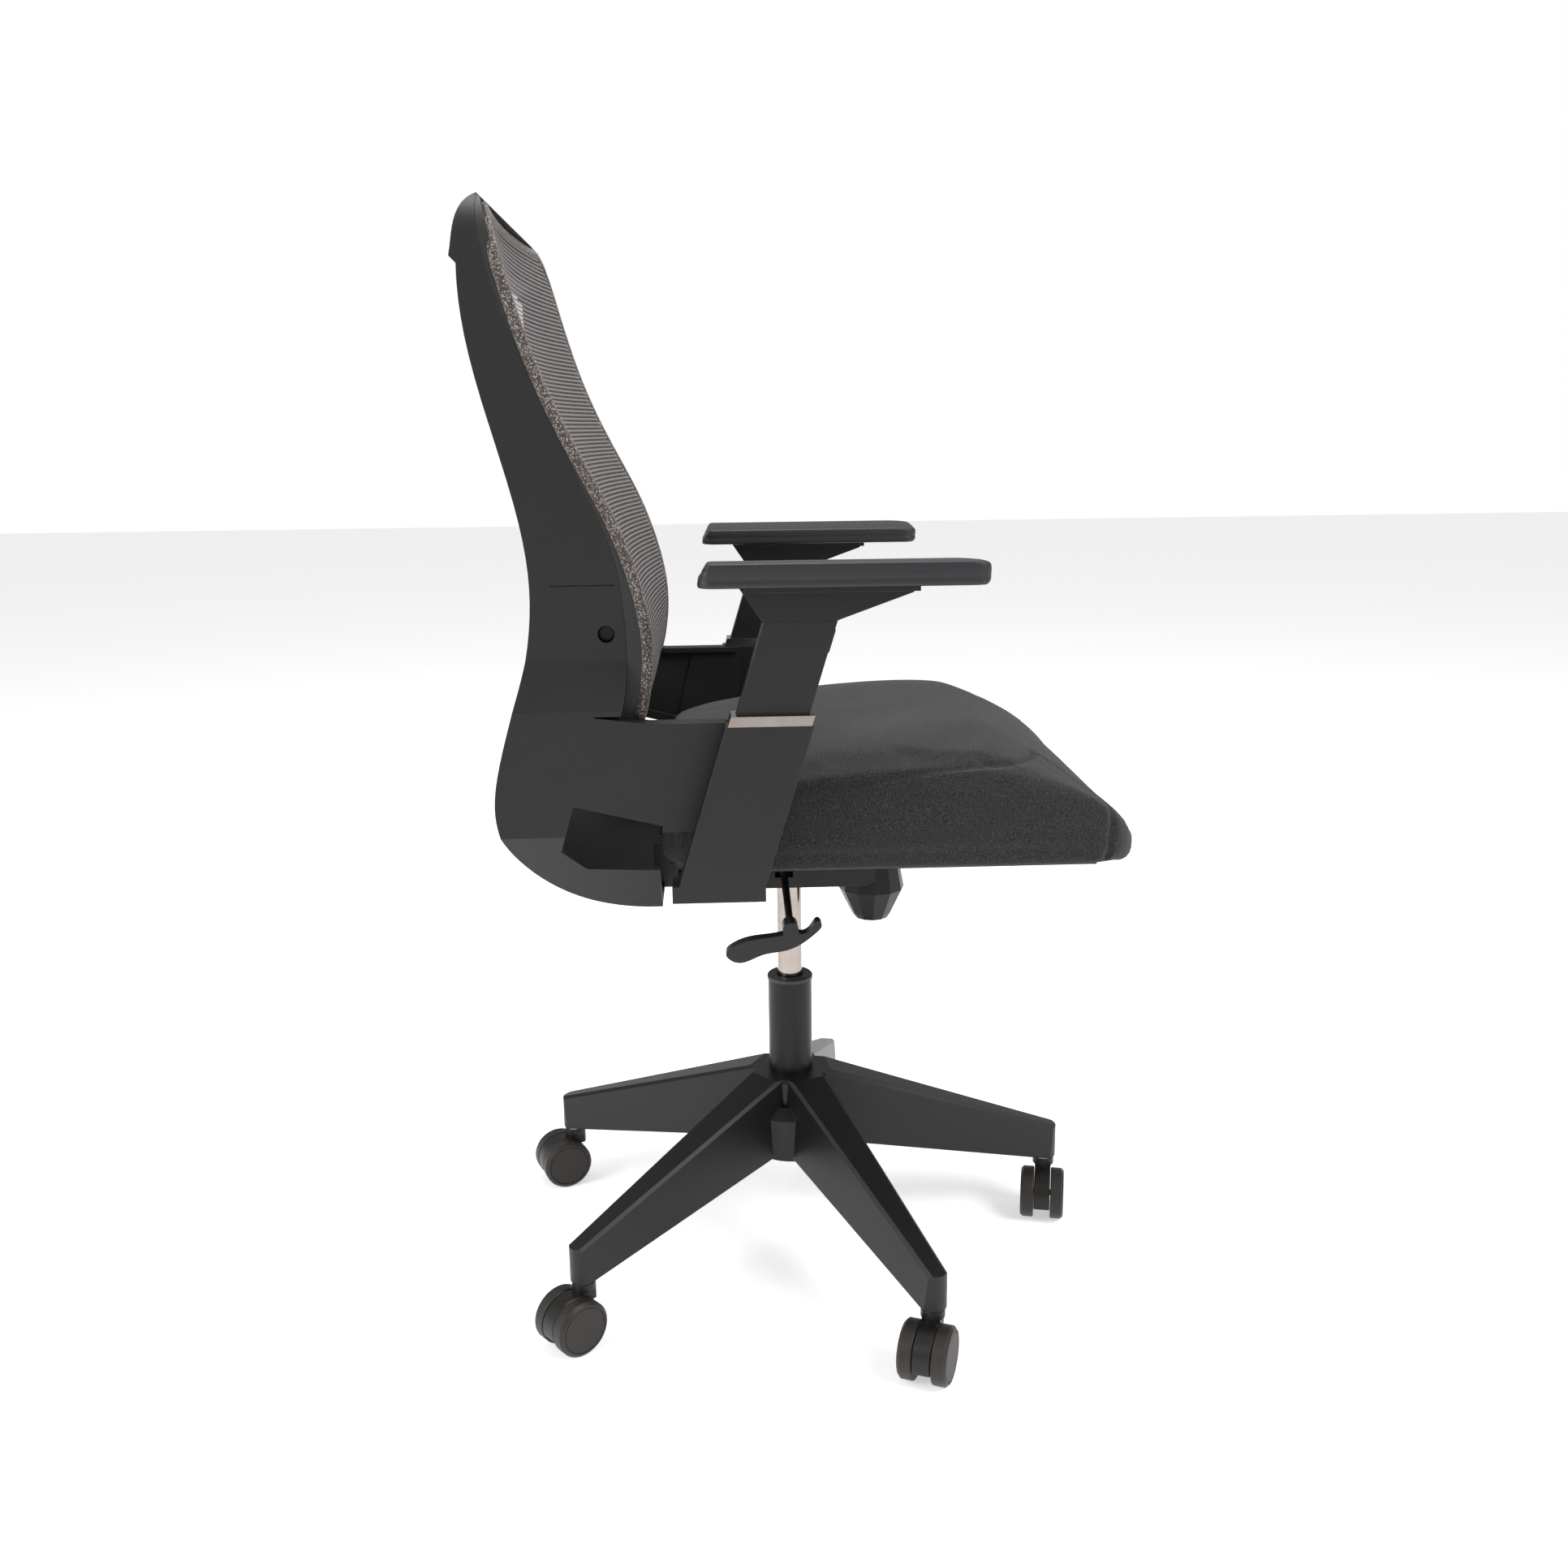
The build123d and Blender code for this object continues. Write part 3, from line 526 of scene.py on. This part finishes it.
def spread_along(line, pitch):
    """Points at an even pitch along a line, each with its direction."""
    places, left = [], 0.0
    for start, end in zip(line, line[1:]):
        reach = (end - start).length
        while left < reach:
            places.append((start.lerp(end, left / reach), (end - start).normalized()))
            left += pitch
        left -= reach
    return places


def smooth_line(points, count):
    """A smooth line through the points, in even steps of its own length."""
    steps = 16
    padded = [points[0], *points, points[-1]]
    raw = []
    for index in range(len(points) - 1):
        p0, p1, p2, p3 = padded[index : index + 4]
        for step in range(steps):
            t = step / steps
            square = (2 * p0 - 5 * p1 + 4 * p2 - p3) * t**2
            cube = (3 * p1 - p0 - 3 * p2 + p3) * t**3
            raw.append(0.5 * (2 * p1 + (p2 - p0) * t + square + cube))
    raw.append(points[-1])
    total = sum((b - a).length for a, b in zip(raw, raw[1:]))
    return [place for place, _ in spread_along(raw, total / count)] + [points[-1]]


# ---------------------------------------------------------------- sizes and colours
class SeatSizes(bpy.types.PropertyGroup):
    """Sizes of the seat cushion and its seams."""

    voxel: FloatProperty(
        name="Skin step", description="Even step of the cushion's skin", default=0.0062, unit="LENGTH"
    )
    swell: FloatProperty(
        name="Swell", description="Most that the padding pushes the cover out", default=0.005, unit="LENGTH"
    )
    seam_depth: FloatProperty(
        name="Seam depth", description="How deep the sewn seam sits", default=0.0034, unit="LENGTH"
    )
    seam_width: FloatProperty(
        name="Seam width", description="Reach of the dip beside the seam", default=0.005, unit="LENGTH"
    )
    stitch_pitch: FloatProperty(
        name="Stitch pitch", description="Distance between two stitches", default=0.0058, unit="LENGTH"
    )
    stitch_length: FloatProperty(
        name="Stitch length", description="Length of one stitch", default=0.0036, unit="LENGTH"
    )
    cloth: FloatVectorProperty(
        name="Cloth",
        description="Dark yarn of the seat cloth",
        default=(0.0085, 0.0082, 0.009),
        subtype="COLOR",
    )
    fleck: FloatVectorProperty(
        name="Fleck",
        description="Light yarn of the seat cloth",
        default=(0.05, 0.048, 0.052),
        subtype="COLOR",
    )


class BackSizes(bpy.types.PropertyGroup):
    """Sizes of the back's mesh and its edging."""

    rib_pitch: FloatProperty(
        name="Rib pitch", description="Distance between two ribs", default=0.00475, unit="LENGTH"
    )
    rib_height: FloatProperty(
        name="Rib height", description="How far a rib stands out of the mesh", default=0.0005, unit="LENGTH"
    )
    piping_radius: FloatProperty(
        name="Piping radius", description="Radius of the edging roll", default=0.0056, unit="LENGTH"
    )
    columns: IntProperty(name="Columns", description="Steps across the mesh", default=56, min=8, max=200)
    # the rib colour is the ribs' own dark grey lightened to pinkish grey: a painted highlight
    rib: FloatVectorProperty(
        name="Rib", description="Colour of the ribs", default=(0.13, 0.105, 0.1), subtype="COLOR"
    )
    gap: FloatVectorProperty(
        name="Gap", description="Colour between the ribs", default=(0.009, 0.0105, 0.0095), subtype="COLOR"
    )


class PadSizes(bpy.types.PropertyGroup):
    """Sizes of the arm pads."""

    voxel: FloatProperty(
        name="Skin step", description="Even step of a pad's skin", default=0.0026, unit="LENGTH"
    )
    crown: FloatProperty(
        name="Crown", description="How far the middle of a pad rises", default=0.0012, unit="LENGTH"
    )
    lean: FloatProperty(
        name="Lean", description="How much lower a pad's inner edge is", default=0.0045, unit="LENGTH"
    )
    skin: FloatVectorProperty(
        name="Skin", description="Colour of the pad's skin", default=(0.007, 0.0075, 0.009), subtype="COLOR"
    )


class StageSizes(bpy.types.PropertyGroup):
    """Floor, light and camera."""

    lens: FloatProperty(name="Lens", description="Focal length", default=34.68)
    key_power: FloatProperty(name="Key light", description="Power of the front light", default=95.0)
    fill_power: FloatProperty(name="Fill light", description="Power of the other two lights", default=62.0)
    sky: FloatProperty(name="Surround", description="Light that the white surround gives", default=0.42)


# ---------------------------------------------------------------- pieces
class CHAIR_OT_finishes(bpy.types.Operator):
    """Gives every machined and moulded part of the chair its finish"""

    bl_idname = "chair.finishes"
    bl_label = "Finishes"

    def execute(self, context):
        worn_black = (0.05, 0.047, 0.045)
        # new colour, worn colour, grain, gloss and wear of each moulding
        shades = {
            "frame": ((0.0072, 0.0062, 0.006), (0.045, 0.041, 0.038), 0.0007, 0.46, 0.6),
            "base": ((0.0065, 0.0058, 0.0055), worn_black, 0.0009, 0.36, 0.4),
            "arm": ((0.0062, 0.0058, 0.0058), (0.06, 0.057, 0.054), 0.0007, 0.4, 0.9),
            "knob": ((0.006, 0.0056, 0.0055), worn_black, 0.0006, 0.32, 0.5),
            "wheel": ((0.018, 0.0145, 0.0125), (0.075, 0.065, 0.06), 0.0006, 0.42, 0.8),
            "hood": ((0.007, 0.0063, 0.006), worn_black, 0.0006, 0.34, 0.5),
        }
        nylon = {name: moulded_nylon(f"{name}_nylon", *look) for name, look in shades.items()}
        coat = powder_coat("black_coat", (0.006, 0.006, 0.0062))
        # the polished tube's dark brownish tint is partly the steel's own colour and partly a painted
        # reflection of brown surroundings
        chrome = bright_steel("polished_tube", (0.36, 0.315, 0.285), 0.1, 0.0009)
        plated = bright_steel("plated_steel", (0.5, 0.49, 0.47), 0.26, 0.0006)
        guide = plain_plastic("guide_plastic", (0.03, 0.031, 0.033), 0.45)
        carrier = plain_plastic("carrier_plastic", (0.009, 0.0078, 0.0074), 0.5)
        rubber = plain_plastic("seal_rubber", (0.02, 0.02, 0.02), 0.6)
        board = plywood("lined_plywood")
        by_slot = {
            "nylon_black": nylon["frame"],
            "caster_nylon": nylon["hood"],
            "steel_polished": chrome,
            "steel_plain": plated,
            "steel_painted": coat,
            "guide_grey": guide,
            "seal_rubber": rubber,
            "pan_wood": board,
            "carrier_grey": carrier,
        }
        by_start = {
            "five_star_base": nylon["base"],
            "arm_": nylon["arm"],
            "pad_bracket": nylon["arm"],
            "tension_knob": nylon["knob"],
            "lever_paddle": nylon["knob"],
        }
        slots = {part["node"]: part["material_slot"] for part in frame["record"]["subparts"]}
        for name, node in frame["nodes"].items():
            chosen = by_slot.get(slots[name])
            for start, finish in by_start.items():
                if name.startswith(start) and slots[name] == "nylon_black":
                    chosen = finish
            if name.endswith("_wheels"):
                chosen = nylon["wheel"]
            if name in ("back_screws", "pivot_pin", "arm_bolts"):
                chosen = coat
            if chosen is not None:
                node.data.materials.clear()
                node.data.materials.append(chosen)
        return {"FINISHED"}


class CHAIR_OT_seat_cushion(bpy.types.Operator):
    """Builds the padded seat with its side seams"""

    bl_idname = "chair.seat_cushion"
    bl_label = "Seat cushion"

    def execute(self, context):
        sizes = context.scene.chair_seat
        smoothing = 14
        slack = 0.003
        held_band = 0.012
        past_cad = 0.002
        low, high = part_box("seat_cushion")
        _, pan_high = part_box("seat_pan")
        mesh = remeshed("seat_cushion", sizes.voxel, smoothing)
        for vertex in mesh.vertices:
            vertex.co -= vertex.normal * slack
        rim = pan_high.z + held_band
        held = [vertex.index for vertex in mesh.vertices if vertex.co.z < rim]
        mesh = swollen(mesh, held, sizes.swell)
        mesh = subdivided(mesh)
        mesh.update()
        self.pull_in(mesh, low, high)
        tree = mesh_tree(mesh)
        seams = [self.seam_line(tree, side, low, high) for side in (-1, 1)]
        self.sink(mesh, seams, sizes)
        for vertex in mesh.vertices:
            vertex.co.x = min(max(vertex.co.x, low.x - past_cad), high.x + past_cad)
        mesh.update()

        cloth = woven_cloth("seat_cloth", sizes.cloth, sizes.fleck, 0.0013, 0.22)
        cushion = new_piece("seat_cushion_cover", mesh, "seat", cloth)
        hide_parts("seat_cushion")

        thread = plain_plastic("thread", (0.03, 0.029, 0.03), 0.6)
        new_piece("seat_stitches", self.stitches(mesh, seams, sizes), "seat", thread)
        return {"FINISHED"}

    def stitches(self, mesh, seams, sizes):
        """A row of stitches on either side of each seam."""
        offset = 0.0042
        proud = 0.0001
        thread_radius = 0.00055
        tree = mesh_tree(mesh)
        places = []
        for seam in seams:
            for place, ahead in spread_along(seam, sizes.stitch_pitch):
                hit, out, _, _ = tree.find_nearest(place)
                beside = ahead.cross(out).normalized()
                for way in (offset, -offset):
                    places.append((hit + beside * way + out * proud, ahead, out))
        return capsules("seat_stitches", places, sizes.stitch_length, thread_radius)

    def pull_in(self, mesh, low, high):
        """Domes the top and draws the flanks in between the corners, as the cover's tension does."""
        fall = 0.02
        waist_depth = 0.004
        flat_share = 0.42
        steady_share = 0.35
        middle = (low.y + high.y) / 2
        half = (high.y - low.y) / 2
        for vertex in mesh.vertices:
            along = 1.0 - min(abs(vertex.co.y - middle) / half, 1.0) ** 2
            height = (vertex.co.z - low.z) / (high.z - low.z)
            waist = max(0.0, sin(pi * min(max(height, 0.0), 1.0)))
            reach = abs(vertex.co.x) / high.x
            slope = min(max((reach - flat_share) / (1.0 - flat_share), 0.0), 1.0)
            lift = max(height - steady_share, 0.0) / (1.0 - steady_share)
            vertex.co.z -= fall * slope**2 * lift
            side = 1 if vertex.co.x > 0 else -1
            vertex.co.x -= side * waist_depth * along * waist * reach**6

    def seam_line(self, tree, side, low, high):
        """The seam along the flank's top edge, which turns down round the front corner."""
        points_along = 170
        outside, flank = 0.5, 0.15
        depth = high.y - low.y
        rear, front = low.y + 0.93 * depth, low.y + 0.1 * depth
        heights = (
            (rear, high.z - 0.049),
            (low.y + 0.63 * depth, high.z - 0.036),
            (low.y + 0.46 * depth, high.z - 0.025),
            (low.y + 0.34 * depth, high.z - 0.022),
            (low.y + 0.24 * depth, high.z - 0.023),
            (low.y + 0.165 * depth, high.z - 0.031),
            (low.y + 0.122 * depth, high.z - 0.046),
            (front, high.z - 0.066),
            (front, high.z - 0.099),
            (front + 0.004, low.z + 0.014),
        )
        line = smooth_line([Vector((side * outside, y, z)) for y, z in heights], points_along)
        seam = []
        for place in line:
            hit, _, _, _ = tree.ray_cast(place, Vector((-side, 0.0, 0.0)))
            if hit is not None and abs(hit.x) > flank:
                seam.append(hit)
        return seam

    def sink(self, mesh, seams, sizes):
        """Presses the cover in along the seams."""
        sharpness = 1.3
        tree = nearest_on([place for seam in seams for place in seam])
        for vertex in mesh.vertices:
            _, _, away = tree.find(vertex.co)
            if away < 3 * sizes.seam_width:
                dip = exp(-((away / sizes.seam_width * sharpness) ** 2))
                vertex.co -= vertex.normal * (sizes.seam_depth * dip)


class CHAIR_OT_back_mesh(bpy.types.Operator):
    """Stretches the ribbed mesh over its carrier and rolls the piping along its edge"""

    bl_idname = "chair.back_mesh"
    bl_label = "Back mesh"

    def execute(self, context):
        sizes = context.scene.chair_back
        self.tree = mesh_tree(frame["nodes"]["mesh_panel"].data)
        self.low, self.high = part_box("mesh_panel")
        piping = self.piping(sizes)
        rib_steps = 6
        behind = 0.0012
        step = sizes.rib_pitch / rib_steps
        rows = self.rows(step)
        points, flat, faces = [], [], []
        columns = sizes.columns
        for index, height in enumerate(rows):
            reach = self.reach(height)
            rib = 0.5 + 0.5 * sin(2 * pi * index / rib_steps)
            for column in range(columns + 1):
                x = reach * (2 * column / columns - 1)
                depth = self.front(x, height) + behind
                points.append((x, depth - sizes.rib_height * rib, height))
                flat.append((x, index * step))
        for row in range(len(rows) - 1):
            for column in range(columns):
                start = row * (columns + 1) + column
                faces.append((start, start + 1, start + columns + 2, start + columns + 1))
        mesh = mesh_from("back_mesh", points, faces, flat)
        fabric = ribbed_mesh("ribbed_mesh", sizes.rib, sizes.gap, sizes.rib_pitch)
        sheet = new_piece("back_mesh", mesh, "seat", fabric)
        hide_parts("mesh_panel")
        return {"FINISHED"}

    def front(self, x, height):
        """Depth of the mesh's front face."""
        hit, _, _, _ = self.tree.ray_cast(Vector((x, -1.0, height)), Vector((0.0, 1.0, 0.0)))
        if hit is None:
            raise RuntimeError(f"the mesh panel has no front at {x:.3f}, {height:.3f}")
        return hit.y

    def reach(self, height):
        """Half of the mesh's width at a height."""
        inside, outside = 0.1, self.high.x + 0.001
        halvings = 12
        selvedge = 0.0004
        for _ in range(halvings):
            middle = (inside + outside) / 2
            hit, _, _, _ = self.tree.ray_cast(Vector((middle, -1.0, height)), Vector((0.0, 1.0, 0.0)))
            if hit is None:
                outside = middle
            else:
                inside = middle
        return inside - selvedge

    def rows(self, step):
        """Heights that lie one step apart along the mesh's middle line."""
        fine = 600
        inset = 0.0015
        start, end = self.low.z + inset, self.high.z - inset
        heights = [start + (end - start) * index / fine for index in range(fine + 1)]
        line = [Vector((0.0, self.front(0.0, z), z)) for z in heights]
        return [place.z for place, _ in spread_along(line, step)]

    def piping(self, sizes):
        """The roll that runs up both edges and over the top."""
        radius = sizes.piping_radius
        side = self.high.x - 0.0002
        top = self.high.z - radius
        foot = self.low.z + 0.004
        corner = 0.052
        side_steps, corner_steps, top_steps = 60, 12, 20
        inset = 0.004
        outline = []
        for index in range(side_steps):
            outline.append((-side, foot + (top - corner - foot) * index / side_steps))
        for index in range(corner_steps):
            turn = pi / 2 * index / corner_steps
            outline.append((-side + corner - corner * cos(turn), top - corner + corner * sin(turn)))
        for index in range(top_steps + 1):
            outline.append((-side + corner + (side - corner) * index / top_steps, top))
        outline += [(-x, z) for x, z in reversed(outline) if x < 0]
        path = []
        for x, z in outline:
            height = min(max(z, foot), self.high.z - 0.002)
            inner = min(abs(x), self.reach(height) - inset)
            depth = self.front(inner if x > 0 else -inner, height)
            path.append(Vector((x, depth + 0.8 * radius, z)))
        edging = speckled_piping("edge_piping", (0.024, 0.018, 0.016), (0.5, 0.44, 0.4))
        return new_piece("back_piping", tube("back_piping", path, radius), "seat", edging)


class CHAIR_OT_arm_pads(bpy.types.Operator):
    """Builds the two soft arm pads"""

    bl_idname = "chair.arm_pads"
    bl_label = "Arm pads"

    def execute(self, context):
        sizes = context.scene.chair_pads
        skin = pad_skin("pad_skin", sizes.skin)
        for side in ("right", "left"):
            node = f"arm_pad_{side}"
            low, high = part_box(node)
            mesh = remeshed(node, sizes.voxel, 2)
            self.shape(mesh, low, high, sizes)
            mesh = subdivided(mesh)
            pad = new_piece(f"soft_pad_{side}", mesh, f"arm_{side}", skin)
            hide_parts(node)
        return {"FINISHED"}

    def shape(self, mesh, low, high, sizes):
        """Crowns and leans the top and cuts the mould's parting line."""
        nose, nose_fall = 0.03, 0.002
        groove_width, groove_depth = 0.0011, 0.0007
        middle = (low.x + high.x) / 2
        half = (high.x - low.x) / 2
        thick = high.z - low.z
        parting = low.z + 0.36 * thick
        for vertex in mesh.vertices:
            share = (vertex.co.z - low.z) / thick
            across = min(abs(vertex.co.x - middle) / half, 1.0)
            front = min(max((low.y + nose - vertex.co.y) / nose, 0.0), 1.0)
            vertex.co.z += share * sizes.crown * (1.0 - across**2)
            away = high.x - vertex.co.x if middle > 0 else vertex.co.x - low.x
            inward = away / (high.x - low.x)
            vertex.co.z -= share * (nose_fall * front**2 + sizes.lean * inward)
            outward = 1.0 if abs(vertex.normal.z) < 0.5 else 0.0
            groove = exp(-(((vertex.co.z - parting) / groove_width) ** 2))
            vertex.co -= vertex.normal * (groove_depth * groove * outward)


class CHAIR_OT_stage(bpy.types.Operator):
    """Sets the floor, the soft light and the camera"""

    bl_idname = "chair.stage"
    bl_label = "Stage"

    def execute(self, context):
        sizes = context.scene.chair_stage
        self.floor()
        self.surround(context.scene, sizes)
        self.lamps(sizes)
        self.camera(context.scene, sizes)
        return {"FINISHED"}

    def floor(self):
        """A pale floor that reaches far past the chair."""
        reach = 14.0
        corners = [(-reach, -reach, 0.0), (reach, -reach, 0.0), (reach, reach, 0.0), (-reach, reach, 0.0)]
        floor = new_piece("floor", mesh_from("floor", corners, [(0, 1, 2, 3)]))
        floor.data.materials.append(plain_floor("floor", (0.86, 0.86, 0.86)))

    def surround(self, scene, sizes):
        """A white surround that is seen in full and lights the chair less."""
        world = bpy.data.worlds.new("surround")
        world.use_nodes = True
        tree = world.node_tree
        background = tree.nodes["Background"]
        background.inputs["Color"].default_value = (1.0, 1.0, 1.0, 1.0)
        ray = tree.nodes.new("ShaderNodeLightPath")
        level = tree.nodes.new("ShaderNodeMapRange")
        level.inputs["To Min"].default_value = sizes.sky
        level.inputs["To Max"].default_value = 1.0
        tree.links.new(ray.outputs["Is Camera Ray"], level.inputs["Value"])
        tree.links.new(level.outputs[0], background.inputs["Strength"])
        scene.world = world
        scene.view_settings.view_transform = "Standard"

    def lamps(self, sizes):
        """Large soft lights: ahead of the chair, behind it and above it."""
        target = Vector((0.0, -0.05, 0.6))
        lights = (
            ("key", (-1.9, -2.3, 2.9), 1.6, sizes.key_power),
            ("fill", (-1.4, 2.6, 1.9), 1.6, sizes.fill_power),
            ("top", (0.3, 0.1, 3.3), 1.4, sizes.fill_power),
        )
        for name, place, width, power in lights:
            lamp = bpy.data.lights.new(name, "AREA")
            lamp.energy = power
            lamp.size = width
            turn = (target - Vector(place)).to_track_quat("-Z", "Y").to_matrix().to_4x4()
            placed(name, lamp).matrix_world = Matrix.Translation(place) @ turn

    def camera(self, scene, sizes):
        """A camera on the sitter's right, a little above the arm pads."""
        place = (-1.643256, 0.07219, 0.937418)
        ahead = Vector((0.9726, -0.0402, -0.2290)).normalized()
        over = Vector((0.2284, -0.0209, 0.9734))
        right = ahead.cross(over).normalized()
        over = right.cross(ahead).normalized()
        turn = Matrix((right, over, -ahead)).transposed().to_4x4()
        camera = bpy.data.cameras.new("camera")
        camera.sensor_width = 36.0
        camera.lens = sizes.lens
        holder = placed("camera", camera)
        holder.matrix_world = Matrix.Translation(place) @ turn
        scene.camera = holder


class CHAIR_PT_pieces(bpy.types.Panel):
    """Lists the chair's pieces and their sizes"""

    bl_idname = "CHAIR_PT_pieces"
    bl_label = "Mesh-back chair"
    bl_space_type = "VIEW_3D"
    bl_region_type = "UI"
    bl_category = "Chair"

    def draw(self, context):
        for kind in OPERATORS:
            self.layout.operator(kind.bl_idname)
        for group in GROUPS:
            sizes = getattr(context.scene, group)
            for name in sizes.bl_rna.properties.keys():
                if name not in ("name", "rna_type"):
                    self.layout.prop(sizes, name)


OPERATORS = (
    CHAIR_OT_finishes,
    CHAIR_OT_seat_cushion,
    CHAIR_OT_back_mesh,
    CHAIR_OT_arm_pads,
    CHAIR_OT_stage,
)
GROUPS = {
    "chair_seat": SeatSizes,
    "chair_back": BackSizes,
    "chair_pads": PadSizes,
    "chair_stage": StageSizes,
}


def register():
    for kind in (*GROUPS.values(), *OPERATORS, CHAIR_PT_pieces):
        bpy.utils.register_class(kind)
    for group, kind in GROUPS.items():
        setattr(bpy.types.Scene, group, PointerProperty(type=kind))


def unregister():
    for group in GROUPS:
        delattr(bpy.types.Scene, group)
    for kind in reversed((*GROUPS.values(), *OPERATORS, CHAIR_PT_pieces)):
        bpy.utils.unregister_class(kind)


def main():
    register()
    bpy.ops.chair.finishes()
    bpy.ops.chair.seat_cushion()
    bpy.ops.chair.back_mesh()
    bpy.ops.chair.arm_pads()
    bpy.ops.chair.stage()


if __name__ == "__main__":
    main()
